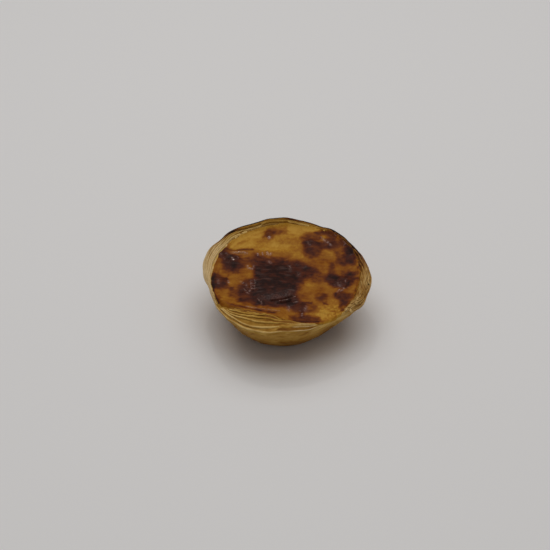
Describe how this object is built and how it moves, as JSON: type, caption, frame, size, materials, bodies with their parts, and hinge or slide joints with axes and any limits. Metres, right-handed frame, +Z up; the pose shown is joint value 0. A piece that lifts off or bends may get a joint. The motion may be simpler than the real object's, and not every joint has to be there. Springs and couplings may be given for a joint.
{
  "type": "portuguese custard tart",
  "caption": "Small round custard tart: a flared, uneven case of laminated pastry filled to the rim with baked custard whose skin has scorched dark in blisters.",
  "frame": {"origin": "middle of the tart's box in plan, on the flat underside that it stands on", "axes": "+Z up; -Y towards the side where the pastry rim has fanned out wide and low; +X to the right of someone looking from that side"},
  "size_m": [0.0758, 0.0746, 0.0285],
  "materials": {
    "pastry": "baked laminated pastry, dry and faintly waxy, golden with browned leaf edges",
    "custard": "baked custard skin, glossy, amber to nearly black where it scorched"
  },
  "bodies": {
    "root": {"pastry_case": "pastry", "custard": "custard"}
  },
  "joints": []
}
